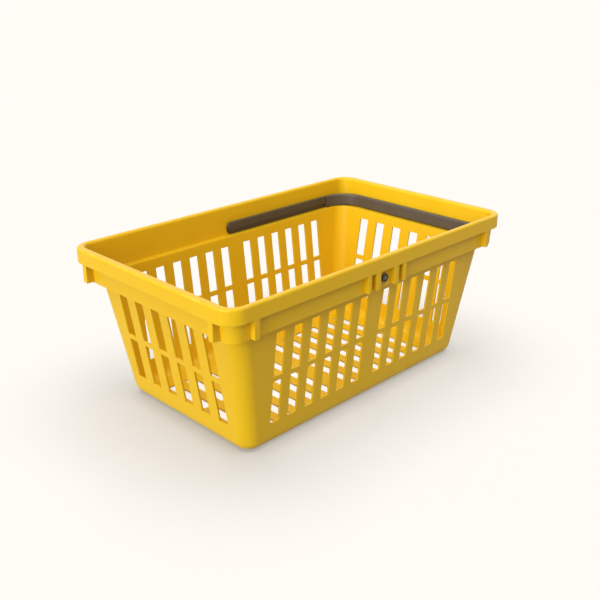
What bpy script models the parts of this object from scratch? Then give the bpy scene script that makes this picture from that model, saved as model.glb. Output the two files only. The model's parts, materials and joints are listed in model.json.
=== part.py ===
"""Plastic hand basket for a shop, with a bail handle that folds down inside the rim.

The tub is one moulding: a slotted, tapered wall and floor, a ledge near the top for the handle
to lie on, a straight band above the ledge, and a rim with a turned-down lip braced by short ribs.
The handle is two flat arms, a thick grip between them, and a cap and a rivet at each pivot.

Frame: metres, +Z up, X along the length, Y across the width, origin at the middle of the base.
The handle lies folded to the +X end and turns about the line along Y through the two pivots,
where each of its pieces has its origin.
"""

import math

import bmesh
import bpy
from mathutils import Vector

# Overall sizes
LENGTH = 0.480
WIDTH = 0.2872
HEIGHT = 0.1964
BASE_LENGTH = 0.3835
BASE_WIDTH = 0.2204
WALL = 0.0025
CLEARANCE = 0.0003

# Rim: the rounded top, the turned-down lip and the band that stands inside it
RIM_WIDTH = 0.0078
RIM_END_EXTRA = 0.0028
RIM_CORNER_RADIUS = 0.023
RIM_OUTER_EDGE = 0.0024
RIM_INNER_EDGE = 0.0030
LIP_DEPTH = 0.0177
BAND_CORNER_RADIUS = 0.014
BAND_DRAFT = 0.0017

# Ledge under the band, and how far the slotted wall stands in from the rim's outer face
LEDGE_DEPTH = 0.0385
SIDE_INSET = 0.0160
END_INSET = 0.0230
WALL_CORNER_RADIUS = 0.019
BASE_FILLET = 0.012

# Slots in the walls and the floor
SIDE_SLOT_WIDTH = 0.0134
SIDE_SLOT_PITCH = 0.0268
SIDE_SLOTS_PER_HALF = 6
SIDE_PILLAR = 0.0262
END_SLOT_WIDTH = 0.0146
END_SLOT_PITCH = 0.0307
END_SLOTS = 6
SLOT_BASE_Z = 0.0301
SLOT_TOP_MARGIN = 0.0512
SLOT_BAR = 0.0064
FLOOR_SLOT_LENGTH = 0.156
FLOOR_BAR = 0.0064

# Ribs that brace the lip: two near each corner, and four around each pivot
CORNER_RIB_WIDTH = 0.0077
RIB_SETBACK = 0.0002
RIB_FOOT = 0.0015
CORNER_RIB_END_INSET = 0.0290
CORNER_RIB_SIDE_INSET = 0.0370
PIVOT_RIBS = ((0.0161, 0.0076), (0.0314, 0.0058))

# Handle
GRIP_HEIGHT = 0.0180
GRIP_THICKNESS = 0.0059
GRIP_EDGE_RADIUS = 0.0027
GRIP_BEND_RADIUS = 0.0350
GRIP_STRAIGHT_END = 0.0020
ARM_LIFT = 0.0006
ARM_HEIGHT = 0.0171
ARM_THICKNESS = 0.0027
ARM_END_OVERRUN = 0.0080
ARM_END_ROUND = 0.41
PAD_HEIGHT = 0.0102
PAD_THICKNESS = 0.0017
PAD_MARGIN = 0.0004
PAD_END_ROUND = 0.47
TONGUE_LENGTH = 0.0080
TONGUE_HEIGHT = 0.0110
TONGUE_THICKNESS = 0.0018

# Pivots
STUB_RADIUS = 0.0034
STUB_BORE_RADIUS = 0.0013
STUB_BORE_DEPTH = 0.0070
CAP_RADIUS = 0.0053
CAP_THICKNESS = 0.0022
CAP_CHAMFER = 0.0006
RIVET_RADIUS = 0.0010
RIVET_LENGTH = 0.0060
RIVET_HEAD_RADIUS = 0.0020
RIVET_HEAD_HEIGHT = 0.0008

# Facets
CORNER_STEPS = 6
FILLET_STEPS = 4
EDGE_STEPS = 3
BEND_STEPS = 8
ROUND_STEPS = 24
SHARP_ANGLE = math.radians(35)

# Heights and places that follow from the sizes above
LEDGE_Z = HEIGHT - LEDGE_DEPTH
STEP_Z = LEDGE_Z - WALL
LIP_Z = HEIGHT - LIP_DEPTH
PIVOT_Z = LEDGE_Z + CLEARANCE + GRIP_HEIGHT / 2
RIM_X = LENGTH / 2
RIM_Y = WIDTH / 2
BAND_FOOT_INSET = RIM_WIDTH + BAND_DRAFT
ARM_END_RADIUS = ARM_END_ROUND * ARM_HEIGHT
PAD_END_RADIUS = PAD_END_ROUND * PAD_HEIGHT
HANDLE_ORIGIN = (0, 0, PIVOT_Z)


def band_inset(z):
    """Distance from a long side's outer face in to the band's inner face at height z."""
    return RIM_WIDTH + BAND_DRAFT * (HEIGHT - z) / LEDGE_DEPTH


def wall_half_x(z):
    """Half length of the slotted wall's outer face at height z."""
    base, top = BASE_LENGTH / 2, RIM_X - END_INSET
    return base + (top - base) * z / STEP_Z


def wall_half_y(z):
    """Half width of the slotted wall's outer face at height z."""
    base, top = BASE_WIDTH / 2, RIM_Y - SIDE_INSET
    return base + (top - base) * z / STEP_Z


def make_material(name, colour, roughness, metallic=0.0):
    """A Principled material of one colour."""
    material = bpy.data.materials.new(name)
    material.use_nodes = True
    shader = material.node_tree.nodes["Principled BSDF"]
    shader.inputs["Base Color"].default_value = (*colour, 1.0)
    shader.inputs["Roughness"].default_value = roughness
    shader.inputs["Metallic"].default_value = metallic
    material.diffuse_color = (*colour, 1.0)
    return material


def make_object(name, bm, material, origin=(0, 0, 0)):
    """Turn a bmesh into an object with its faces pointing out and its origin at this point."""
    bmesh.ops.recalc_face_normals(bm, faces=bm.faces[:])
    bmesh.ops.translate(bm, verts=bm.verts[:], vec=-Vector(origin))
    mesh = bpy.data.meshes.new(name)
    bm.to_mesh(mesh)
    bm.free()
    mesh.shade_smooth()
    mesh.set_sharp_from_angle(angle=SHARP_ANGLE)
    if material:
        mesh.materials.append(material)
    obj = bpy.data.objects.new(name, mesh)
    obj.location = origin
    bpy.context.collection.objects.link(obj)
    return obj


def rounded_ring(half_x, half_y, radius, z):
    """Points of a rounded rectangle at height z, anticlockwise from the +X side."""
    points = []
    for quarter, (sx, sy) in enumerate(((1, 1), (-1, 1), (-1, -1), (1, -1))):
        centre = Vector((sx * (half_x - radius), sy * (half_y - radius), z))
        for step in range(CORNER_STEPS + 1):
            angle = math.radians(90) * (quarter + step / CORNER_STEPS)
            points.append(centre + radius * Vector((math.cos(angle), math.sin(angle), 0)))
    return points


def loft(bm, rings):
    """Skin a list of equal rings and close the two ends."""
    loops = [[bm.verts.new(point) for point in ring] for ring in rings]
    count = len(loops[0])
    for lower, upper in zip(loops, loops[1:]):
        for i in range(count):
            j = (i + 1) % count
            bm.faces.new((lower[i], lower[j], upper[j], upper[i]))
    bm.faces.new(loops[0][::-1])
    bm.faces.new(loops[-1])


def add_box(bm, low, high):
    """Add a box between two corners."""
    ring = [Vector((x, y, low[2])) for x, y in
            ((low[0], low[1]), (high[0], low[1]), (high[0], high[1]), (low[0], high[1]))]
    rise = Vector((0, 0, high[2] - low[2]))
    loft(bm, [ring, [point + rise for point in ring]])


def add_disc_stack(bm, x, z, sections):
    """Add a turned solid about a line along Y: sections are (y, radius) from end to end."""
    rings = []
    for y, radius in sections:
        angles = [math.tau * i / ROUND_STEPS for i in range(ROUND_STEPS)]
        rings.append([Vector((x + radius * math.cos(a), y, z + radius * math.sin(a)))
                      for a in angles])
    loft(bm, rings)


def add_tool(target, name, bm, operation="DIFFERENCE"):
    """Cut or join a hidden solid into the target with an exact Boolean."""
    tool = make_object(name, bm, None)
    tool.hide_render = True
    tool.display_type = "WIRE"
    modifier = target.modifiers.new(name, "BOOLEAN")
    modifier.operation = operation
    modifier.solver = "EXACT"
    modifier.object = tool


def tub_rings():
    """Rings of the tub's section: up the outside, over the rim and down the inside."""
    rings = []

    def wall_ring(z, inset, radius):
        rings.append(rounded_ring(wall_half_x(z) - inset, wall_half_y(z) - inset, radius, z))

    def lip_ring(inset, z):
        rings.append(rounded_ring(RIM_X - inset, RIM_Y - inset, RIM_CORNER_RADIUS - inset, z))

    def band_ring(inset, z):
        rings.append(rounded_ring(RIM_X - inset - RIM_END_EXTRA, RIM_Y - inset,
                                  BAND_CORNER_RADIUS + RIM_WIDTH - inset, z))

    for step in range(FILLET_STEPS + 1):
        angle = math.radians(90) * step / FILLET_STEPS
        inset = BASE_FILLET * (1 - math.sin(angle))
        wall_ring(BASE_FILLET * (1 - math.cos(angle)), inset, WALL_CORNER_RADIUS - inset)
    wall_ring(STEP_Z, 0, WALL_CORNER_RADIUS)

    band_ring(BAND_FOOT_INSET - WALL, STEP_Z)
    band_ring(band_inset(HEIGHT - WALL) - WALL, HEIGHT - WALL)
    lip_ring(WALL, HEIGHT - WALL)
    lip_ring(WALL, LIP_Z)
    lip_ring(0, LIP_Z)
    for step in range(EDGE_STEPS + 1):
        angle = math.radians(90) * step / EDGE_STEPS
        lip_ring(RIM_OUTER_EDGE * (1 - math.cos(angle)),
                 HEIGHT - RIM_OUTER_EDGE * (1 - math.sin(angle)))
    for step in range(EDGE_STEPS + 1):
        angle = math.radians(90) * step / EDGE_STEPS
        band_ring(RIM_WIDTH - RIM_INNER_EDGE * (1 - math.sin(angle)),
                  HEIGHT - RIM_INNER_EDGE * (1 - math.cos(angle)))
    band_ring(BAND_FOOT_INSET, LEDGE_Z)

    wall_ring(LEDGE_Z, WALL, WALL_CORNER_RADIUS - WALL)
    inner_fillet = BASE_FILLET - WALL
    for step in range(FILLET_STEPS, -1, -1):
        angle = math.radians(90) * step / FILLET_STEPS
        inset = inner_fillet * (1 - math.sin(angle))
        wall_ring(WALL + inner_fillet * (1 - math.cos(angle)), WALL + inset,
                  WALL_CORNER_RADIUS - WALL - inset)
    return rings


def centred_places(count, pitch):
    """Places of a row of items about zero."""
    return [(i - (count - 1) / 2) * pitch for i in range(count)]


def side_slot_places():
    """X of each slot in the long walls: two groups with a solid pillar between them."""
    first = (SIDE_PILLAR + SIDE_SLOT_WIDTH) / 2
    half = [first + i * SIDE_SLOT_PITCH for i in range(SIDE_SLOTS_PER_HALF)]
    return [-x for x in reversed(half)] + half


def slot_rows():
    """Lowest and highest Z of the two rows of wall slots."""
    top = HEIGHT - SLOT_TOP_MARGIN
    height = (top - SLOT_BASE_Z - SLOT_BAR) / 2
    return ((SLOT_BASE_Z, SLOT_BASE_Z + height), (top - height, top))


def add_side_slots(tub):
    """Cut the slots of both long walls with bars that run across the whole tub."""
    bm = bmesh.new()
    for x in side_slot_places():
        for low, high in slot_rows():
            half = SIDE_SLOT_WIDTH / 2
            add_box(bm, (x - half, -RIM_Y - WALL, low), (x + half, RIM_Y + WALL, high))
    add_tool(tub, "side_slot_cutter", bm)


def add_end_slots(tub):
    """Cut the slots of both end walls with bars that run along the whole tub."""
    bm = bmesh.new()
    for y in centred_places(END_SLOTS, END_SLOT_PITCH):
        for low, high in slot_rows():
            half = END_SLOT_WIDTH / 2
            add_box(bm, (-RIM_X - WALL, y - half, low), (RIM_X + WALL, y + half, high))
    add_tool(tub, "end_slot_cutter", bm)


def add_floor_slots(tub):
    """Cut the floor's slots, in line with those of the long walls, either side of a bar."""
    bm = bmesh.new()
    for x in side_slot_places():
        for side in (-1, 1):
            near, far = sorted((side * FLOOR_BAR / 2, side * FLOOR_SLOT_LENGTH / 2))
            half = SIDE_SLOT_WIDTH / 2
            add_box(bm, (x - half, near, -WALL), (x + half, far, 2 * WALL))
    add_tool(tub, "floor_slot_cutter", bm)


def add_ribs(tub):
    """Join the ribs that fill the gap between the band and the lip."""
    low, high = STEP_Z + RIB_FOOT, LIP_Z + LIP_DEPTH / 2
    bm = bmesh.new()
    side_ribs = [(RIM_X - CORNER_RIB_SIDE_INSET, CORNER_RIB_WIDTH), *PIVOT_RIBS]
    for x, width in [(sign * x, width) for x, width in side_ribs for sign in (-1, 1)]:
        inner = RIM_Y - BAND_FOOT_INSET + WALL / 2
        for side in (-1, 1):
            near, far = sorted((side * inner, side * (RIM_Y - RIB_SETBACK)))
            add_box(bm, (x - width / 2, near, low), (x + width / 2, far, high))
    for y in [sign * (RIM_Y - CORNER_RIB_END_INSET) for sign in (-1, 1)]:
        inner = RIM_X - RIM_END_EXTRA - BAND_FOOT_INSET + WALL / 2
        for side in (-1, 1):
            near, far = sorted((side * inner, side * (RIM_X - RIB_SETBACK)))
            add_box(bm, (near, y - CORNER_RIB_WIDTH / 2, low),
                    (far, y + CORNER_RIB_WIDTH / 2, high))
    add_tool(tub, "rib_adder", bm, "UNION")


def add_pivot_holes(tub):
    """Drill the band for the handle's stubs."""
    bm = bmesh.new()
    radius = STUB_RADIUS + CLEARANCE
    add_disc_stack(bm, 0, PIVOT_Z, ((-RIM_Y, radius), (RIM_Y, radius)))
    add_tool(tub, "pivot_hole_cutter", bm)


def make_tub(material):
    """The one-piece basket moulding."""
    bm = bmesh.new()
    loft(bm, tub_rings())
    tub = make_object("basket_body", bm, material)
    add_ribs(tub)
    add_side_slots(tub)
    add_end_slots(tub)
    add_floor_slots(tub)
    add_pivot_holes(tub)


def handle_outer_y():
    """Y of the outer face of the handle's arms, just inside the band's foot."""
    return RIM_Y - BAND_FOOT_INSET - CLEARANCE


def handle_outer_x():
    """X of the outer face of the grip, just inside the band's foot at the end."""
    return RIM_X - RIM_END_EXTRA - BAND_FOOT_INSET - CLEARANCE


def grip_start_x():
    """X where the grip's ends meet the arms."""
    return handle_outer_x() - GRIP_THICKNESS / 2 - GRIP_BEND_RADIUS - GRIP_STRAIGHT_END


def grip_path():
    """Plan points and outward directions of the grip's centre line, from -Y round to +Y."""
    run_y = handle_outer_y() - GRIP_THICKNESS / 2
    centre_x = grip_start_x() + GRIP_STRAIGHT_END
    centre_y = run_y - GRIP_BEND_RADIUS
    points = [(grip_start_x(), -run_y, 0.0, -1.0)]
    for side in (-1, 1):
        for step in range(BEND_STEPS + 1):
            turn = math.radians(90) * step / BEND_STEPS
            angle = math.radians(-90) + turn if side < 0 else turn
            dx, dy = math.cos(angle), math.sin(angle)
            points.append((centre_x + GRIP_BEND_RADIUS * dx,
                           side * centre_y + GRIP_BEND_RADIUS * dy, dx, dy))
    points.append((grip_start_x(), run_y, 0.0, 1.0))
    return points


def grip_section():
    """Outline of the grip across its path: (outward, up) points of a rounded bar."""
    outline = []
    half_out, half_up = GRIP_THICKNESS / 2 - GRIP_EDGE_RADIUS, GRIP_HEIGHT / 2 - GRIP_EDGE_RADIUS
    for quarter, (sx, sz) in enumerate(((1, 1), (-1, 1), (-1, -1), (1, -1))):
        for step in range(FILLET_STEPS):
            angle = math.radians(90) * (quarter + (step + 0.5) / FILLET_STEPS)
            outline.append((sx * half_out + GRIP_EDGE_RADIUS * math.cos(angle),
                            sz * half_up + GRIP_EDGE_RADIUS * math.sin(angle)))
    return outline


def make_grip(material):
    """The thick grip with its two bends, hollowed at each end for an arm's tongue."""
    bm = bmesh.new()
    rings = []
    for x, y, dx, dy in grip_path():
        rings.append([Vector((x + dx * out, y + dy * out, PIVOT_Z + up))
                      for out, up in grip_section()])
    loft(bm, rings)
    grip = make_object("handle_grip", bm, material, HANDLE_ORIGIN)

    bm = bmesh.new()
    for side in (-1, 1):
        middle = side * tongue_y()
        half = TONGUE_THICKNESS / 2 + CLEARANCE
        height = TONGUE_HEIGHT / 2 + CLEARANCE
        add_box(bm, (grip_start_x() - WALL, middle - half, PIVOT_Z - height),
                (tongue_end_x() + CLEARANCE, middle + half, PIVOT_Z + height))
    add_tool(grip, "tongue_socket_cutter", bm)


def tongue_y():
    """Y of the middle of each arm's tongue."""
    return handle_outer_y() - GRIP_THICKNESS / 2


def tongue_end_x():
    """X of the tip of each arm's tongue, short of where the grip's bend leaves its line."""
    return grip_start_x() + TONGUE_LENGTH


def arm_outline(low, high, overrun, radius):
    """Side outline of a bar from low to high, rounded where it ends behind the pivot: (x, z)."""
    end_x = grip_start_x() - CLEARANCE
    outline = [(end_x, low), (end_x, high)]
    for centre_z, first in ((high - radius, 90), (low + radius, 180)):
        for step in range(FILLET_STEPS + 1):
            angle = math.radians(first + 90 * step / FILLET_STEPS)
            outline.append((radius - overrun + radius * math.cos(angle),
                            centre_z + radius * math.sin(angle)))
    return outline


def bar_rings(outline, side, near, far):
    """The two rings of a bar with this side outline, between two distances from the middle."""
    return [[Vector((x, side * y, z)) for x, z in outline] for y in (near, far)]


def stub_end_y():
    """Y of the outer end of an arm's stub, flush with its cap less the rivet's head."""
    return cap_inner_y() + CAP_THICKNESS - RIVET_HEAD_HEIGHT


def cap_inner_y():
    """Y of a pivot cap's inner face, just clear of the band's outer face."""
    return RIM_Y - band_inset(PIVOT_Z + CAP_RADIUS) + WALL + CLEARANCE


def make_arm(name, side, material):
    """One arm: a strip with a raised pad, a pivot stub and the tongue that enters the grip."""
    outer, inner = handle_outer_y(), handle_outer_y() - ARM_THICKNESS
    low = LEDGE_Z + ARM_LIFT
    high = low + ARM_HEIGHT
    overlap = ARM_THICKNESS / 2
    bm = bmesh.new()
    outline = arm_outline(low, high, ARM_END_OVERRUN, ARM_END_RADIUS)
    loft(bm, bar_rings(outline, side, inner, outer))
    arm = make_object(name, bm, material, HANDLE_ORIGIN)

    bm = bmesh.new()
    pad_high = high - PAD_MARGIN
    outline = arm_outline(pad_high - PAD_HEIGHT, pad_high, ARM_END_OVERRUN - 2 * PAD_MARGIN,
                          PAD_END_RADIUS)
    loft(bm, bar_rings(outline, side, inner - PAD_THICKNESS, inner + overlap))
    add_tool(arm, name + "_pad_adder", bm, "UNION")

    bm = bmesh.new()
    add_disc_stack(bm, 0, PIVOT_Z, ((side * (outer - overlap), STUB_RADIUS),
                                    (side * stub_end_y(), STUB_RADIUS)))
    half = TONGUE_THICKNESS / 2
    low_y, high_y = sorted((side * tongue_y() - half, side * tongue_y() + half))
    add_box(bm, (grip_start_x() - WALL, low_y, PIVOT_Z - TONGUE_HEIGHT / 2),
            (tongue_end_x(), high_y, PIVOT_Z + TONGUE_HEIGHT / 2))
    add_tool(arm, name + "_joint_adder", bm, "UNION")

    bm = bmesh.new()
    add_disc_stack(bm, 0, PIVOT_Z,
                   ((side * (stub_end_y() - STUB_BORE_DEPTH), STUB_BORE_RADIUS),
                    (side * (stub_end_y() + WALL), STUB_BORE_RADIUS)))
    add_tool(arm, name + "_bore_cutter", bm)


def make_cap(name, side, material):
    """The ring pressed on a stub's outer end, which keeps the arm in the band."""
    low, high = cap_inner_y(), cap_inner_y() + CAP_THICKNESS
    bm = bmesh.new()
    add_disc_stack(bm, 0, PIVOT_Z, ((side * low, CAP_RADIUS),
                                    (side * (high - CAP_CHAMFER), CAP_RADIUS),
                                    (side * high, CAP_RADIUS - CAP_CHAMFER)))
    cap = make_object(name, bm, material, HANDLE_ORIGIN)
    bm = bmesh.new()
    bore = STUB_RADIUS + CLEARANCE
    add_disc_stack(bm, 0, PIVOT_Z, ((side * (low - WALL), bore), (side * (high + WALL), bore)))
    add_tool(cap, name + "_bore_cutter", bm)


def make_rivet(name, side, material):
    """The pale rivet driven into the stub's bore, with a low round head."""
    seat = stub_end_y() + CLEARANCE
    bm = bmesh.new()
    add_disc_stack(bm, 0, PIVOT_Z, ((side * (seat - RIVET_LENGTH), RIVET_RADIUS),
                                    (side * seat, RIVET_RADIUS),
                                    (side * seat, RIVET_HEAD_RADIUS),
                                    (side * (seat + RIVET_HEAD_HEIGHT / 2), RIVET_HEAD_RADIUS),
                                    (side * (seat + RIVET_HEAD_HEIGHT), RIVET_HEAD_RADIUS / 2)))
    make_object(name, bm, material, HANDLE_ORIGIN)


def main():
    """Build the basket and its handle."""
    for obj in list(bpy.data.objects):
        bpy.data.objects.remove(obj, do_unlink=True)
    yellow = make_material("basket_yellow", (0.76, 0.46, 0.006), 0.45)
    brown = make_material("handle_brown", (0.060, 0.045, 0.034), 0.48)
    grey = make_material("rivet_grey", (0.17, 0.155, 0.135), 0.30)
    make_tub(yellow)
    make_grip(brown)
    for word, side in (("left", 1), ("right", -1)):
        make_arm("handle_arm_" + word, side, brown)
        make_cap("pivot_cap_" + word, side, brown)
        make_rivet("pivot_rivet_" + word, side, grey)


main()
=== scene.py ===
"""A yellow moulded shop basket with a brown handle folded inside its rim, on a pale studio floor.

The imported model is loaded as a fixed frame. Each class below holds the sizes of one sub-assembly,
works its surfaces out as numpy grids in the frame's own metres, dresses them in a procedural
plastic and hands them back to the body that they move with.
"""

from __future__ import annotations

import json
import logging
import math
from dataclasses import dataclass, field
from enum import Enum
from typing import Any

import bmesh
import bpy
import numpy as np
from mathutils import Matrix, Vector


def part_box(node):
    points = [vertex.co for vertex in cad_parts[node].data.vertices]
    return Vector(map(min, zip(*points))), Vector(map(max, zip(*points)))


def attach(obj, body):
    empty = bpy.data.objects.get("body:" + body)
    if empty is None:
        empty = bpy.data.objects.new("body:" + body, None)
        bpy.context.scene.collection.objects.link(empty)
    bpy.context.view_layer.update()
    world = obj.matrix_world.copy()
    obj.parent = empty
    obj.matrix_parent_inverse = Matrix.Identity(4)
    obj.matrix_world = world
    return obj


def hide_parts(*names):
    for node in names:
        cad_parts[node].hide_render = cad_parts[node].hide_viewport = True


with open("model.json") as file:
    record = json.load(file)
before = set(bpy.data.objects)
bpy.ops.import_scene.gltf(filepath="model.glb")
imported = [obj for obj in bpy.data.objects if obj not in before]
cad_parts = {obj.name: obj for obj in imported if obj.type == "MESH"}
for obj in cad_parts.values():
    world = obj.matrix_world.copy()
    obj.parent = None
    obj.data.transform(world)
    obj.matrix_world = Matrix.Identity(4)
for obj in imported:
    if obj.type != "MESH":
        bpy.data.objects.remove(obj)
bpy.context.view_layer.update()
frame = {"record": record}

LOG = logging.getLogger("shop_basket")
MERGE_DISTANCE = 2e-6  # points nearer than this are one point
SAME_PLACE = 1e-6  # coordinates nearer than this are equal
SMALLEST_RADIUS = 1e-5  # radius of a corner drawn in to nothing
CLEARANCE = 0.0003  # gap between the arm and the grip
SHARP_EDGE = math.radians(33)  # edges sharper than this are rounded
ROUNDING_FACES = 2
FACE_WEIGHT = 60

Array = np.ndarray
RGB = tuple[float, float, float]


class Body(Enum):
    """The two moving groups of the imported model."""

    BASKET = "basket"
    HANDLE = "handle"


class Side(Enum):
    """Which long side of the basket a handle piece belongs to."""

    LEFT = 1
    RIGHT = -1

    @property
    def word(self) -> str:
        """The side's word in the names of pieces."""
        return self.name.lower()


# ---------------------------------------------------------------- finishes


def add_node(tree: bpy.types.NodeTree, kind: str, inputs: dict[str | int, Any],
             **options: str) -> bpy.types.Node:
    """Add a node, and feed each of its inputs from a socket or set it to a value.

    Args:
        tree: Node tree to add to.
        kind: Type of the node.
        inputs: A socket or a value for the name or number of an input.
        options: Settings of the node itself.

    Returns:
        The node.
    """
    node = tree.nodes.new(kind)
    for name, option in options.items():
        setattr(node, name, option)
    for key, value in inputs.items():
        if isinstance(value, bpy.types.NodeSocket):
            tree.links.new(value, node.inputs[key])
        else:
            node.inputs[key].default_value = value
    return node


@dataclass(frozen=True)
class MouldedPlastic:
    """An injection-moulded plastic: even colour, a faint flow mottle, spark grain and scuffs.

    Attributes:
        name: Material name.
        colour: Colour of the pigment, linear.
        thin_colour: Colour where the flow left the pigment slightly thinner.
        scuff_colour: Colour of rubbed places.
        roughness: Roughness of untouched skin.
        rubbed_roughness: Roughness of rubbed places.
        grain_size: Width of one pit of the mould's spark grain, in metres.
        grain_depth: Depth of that grain, in metres.
        mottle_size: Width of one patch of the flow mottle, in metres.
        mottle: How far the mottle moves the colour towards thin_colour, from 0 to 1.
        scuff: How strongly worn edges show, from 0 to 1.
        scratch: How strongly fine scratches show, from 0 to 1.
        specular: Specular level of the skin.
        patch_size: Width of one rubbed patch, in metres.
        cloud_size: Width of one cloud in the roughness, in metres.
        scratch_size: Width of the scratches, in metres.
        scratch_run: How many times longer the scratches are along each axis.
        relief: Strength of the bump.
    """

    name: str
    colour: RGB
    thin_colour: RGB
    scuff_colour: RGB
    roughness: float
    rubbed_roughness: float
    grain_size: float = 0.0008
    grain_depth: float = 0.00009
    mottle_size: float = 0.055
    mottle: float = 0.5
    scuff: float = 0.5
    scratch: float = 0.25
    specular: float = 0.5
    patch_size: float = 0.009
    cloud_size: float = 0.018
    scratch_size: float = 0.0011
    scratch_run: tuple[float, float, float] = (40, 40, 1)
    relief: float = 0.75

    def noise(self, tree: bpy.types.NodeTree, coordinates: bpy.types.NodeSocket, size: float,
              detail: float, stretch: tuple[float, float, float] = (1, 1, 1)
              ) -> bpy.types.NodeSocket:
        """Add fractal noise whose largest features measure about one size across.

        Args:
            tree: Node tree to add to.
            coordinates: Position socket.
            size: Feature width in metres.
            detail: Number of finer octaves.
            stretch: How many times longer the features are along each axis.

        Returns:
            The noise value's socket, from 0 to 1.
        """
        mapping = add_node(tree, "ShaderNodeMapping", {
            "Vector": coordinates, "Scale": tuple(1 / s for s in stretch)})
        noise = add_node(tree, "ShaderNodeTexNoise", {
            "Vector": mapping.outputs["Vector"], "Scale": 1 / size, "Detail": detail,
            "Roughness": 0.55})
        return noise.outputs["Fac"]

    def remap(self, tree: bpy.types.NodeTree, value: bpy.types.NodeSocket, low: float,
              high: float, to_low: float, to_high: float) -> bpy.types.NodeSocket:
        """Stretch a value from one range to another, clamped, with a smooth step.

        Args:
            tree: Node tree to add to.
            value: Socket to stretch.
            low: Value that becomes to_low.
            high: Value that becomes to_high.
            to_low: Lowest result.
            to_high: Highest result.

        Returns:
            The stretched value's socket.
        """
        node = add_node(tree, "ShaderNodeMapRange", {
            "Value": value, "From Min": low, "From Max": high, "To Min": to_low,
            "To Max": to_high}, interpolation_type="SMOOTHSTEP")
        return node.outputs["Result"]

    def blend(self, tree: bpy.types.NodeTree, amount: bpy.types.NodeSocket,
              first: bpy.types.NodeSocket | RGB, second: RGB) -> bpy.types.NodeSocket:
        """Blend from a first colour to a second by a varying amount."""
        node = add_node(tree, "ShaderNodeMix", {
            "Factor": amount, "A": (*first, 1) if isinstance(first, tuple) else first,
            "B": (*second, 1)}, data_type="RGBA")
        return node.outputs["Result"]

    def build(self) -> bpy.types.Material:
        """Make the material.

        Colour = pigment, moved to thin_colour by a broad mottle and to scuff_colour by
        worn edges (the wear attribute times a patchy noise). Roughness follows the same scuffs
        and a fine cloud. Bump = spark grain plus faint long scratches.

        Returns:
            The finished material.
        """
        material = bpy.data.materials.new(self.name)
        material.use_nodes = True
        material.diffuse_color = (*self.colour, 1)
        tree = material.node_tree
        shader = tree.nodes["Principled BSDF"]
        shader.inputs["Specular IOR Level"].default_value = self.specular
        place = tree.nodes.new("ShaderNodeTexCoord").outputs["Object"]
        wear = tree.nodes.new("ShaderNodeAttribute")
        wear.attribute_name = "wear"

        broad = self.remap(tree, self.noise(tree, place, self.mottle_size, 2.0, (1, 1, 2.5)),
                           0.30, 0.72, 0.0, self.mottle)
        patches = self.remap(tree, self.noise(tree, place, self.patch_size, 5.0),
                             0.42, 0.70, 0.0, 1.0)
        worn = add_node(tree, "ShaderNodeMath", {0: wear.outputs["Fac"], 1: patches},
                        operation="MULTIPLY")
        rubbed = self.remap(tree, worn.outputs["Value"], 0.0, 1.0, 0.0, self.scuff)
        colour = self.blend(tree, broad, self.colour, self.thin_colour)
        colour = self.blend(tree, rubbed, colour, self.scuff_colour)
        tree.links.new(colour, shader.inputs["Base Color"])

        cloud = self.remap(tree, self.noise(tree, place, self.cloud_size, 4.0), 0.25, 0.75,
                           self.roughness - 0.04, self.roughness + 0.05)
        rough = add_node(tree, "ShaderNodeMix", {
            "Factor": rubbed, "A": cloud, "B": self.rubbed_roughness})
        tree.links.new(rough.outputs["Result"], shader.inputs["Roughness"])

        grain = self.noise(tree, place, self.grain_size, 2.0)
        scratches = self.noise(tree, place, self.scratch_size, 1.0, self.scratch_run)
        scratches = self.remap(tree, scratches, 0.62, 0.70, 0.0, self.scratch)
        height = add_node(tree, "ShaderNodeMath", {0: grain, 1: scratches}, operation="SUBTRACT")
        bump = add_node(tree, "ShaderNodeBump", {
            "Strength": self.relief, "Distance": self.grain_depth,
            "Height": height.outputs["Value"]})
        tree.links.new(bump.outputs["Normal"], shader.inputs["Normal"])
        return material


TUB_YELLOW = MouldedPlastic(
    name="yellow_polypropylene", colour=(0.77, 0.452, 0.004), thin_colour=(0.81, 0.492, 0.008),
    scuff_colour=(0.84, 0.62, 0.10), roughness=0.45, rubbed_roughness=0.60, mottle=0.45,
    scuff=0.40, scratch=0.14, specular=0.28)
GRIP_BROWN = MouldedPlastic(
    name="brown_grip_plastic", colour=(0.080, 0.061, 0.043), thin_colour=(0.092, 0.070, 0.050),
    scuff_colour=(0.16, 0.135, 0.11), roughness=0.46, rubbed_roughness=0.38, grain_size=0.0009,
    grain_depth=0.00012, mottle_size=0.03, mottle=0.6, scuff=0.35)
ARM_BROWN = MouldedPlastic(
    name="brown_arm_plastic", colour=(0.072, 0.052, 0.030), thin_colour=(0.082, 0.060, 0.036),
    scuff_colour=(0.14, 0.115, 0.085), roughness=0.42, rubbed_roughness=0.34, grain_size=0.0008,
    grain_depth=0.00011, mottle_size=0.03, mottle=0.6, scuff=0.35, specular=0.35)
RIVET_GREY = MouldedPlastic(
    name="grey_rivet_plastic", colour=(0.17, 0.155, 0.135), thin_colour=(0.20, 0.18, 0.16),
    scuff_colour=(0.34, 0.31, 0.27), roughness=0.24, rubbed_roughness=0.20, grain_size=0.0004,
    grain_depth=0.00002, mottle_size=0.004, mottle=0.6, scuff=0.4)


# ---------------------------------------------------------------- surfaces


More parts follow.
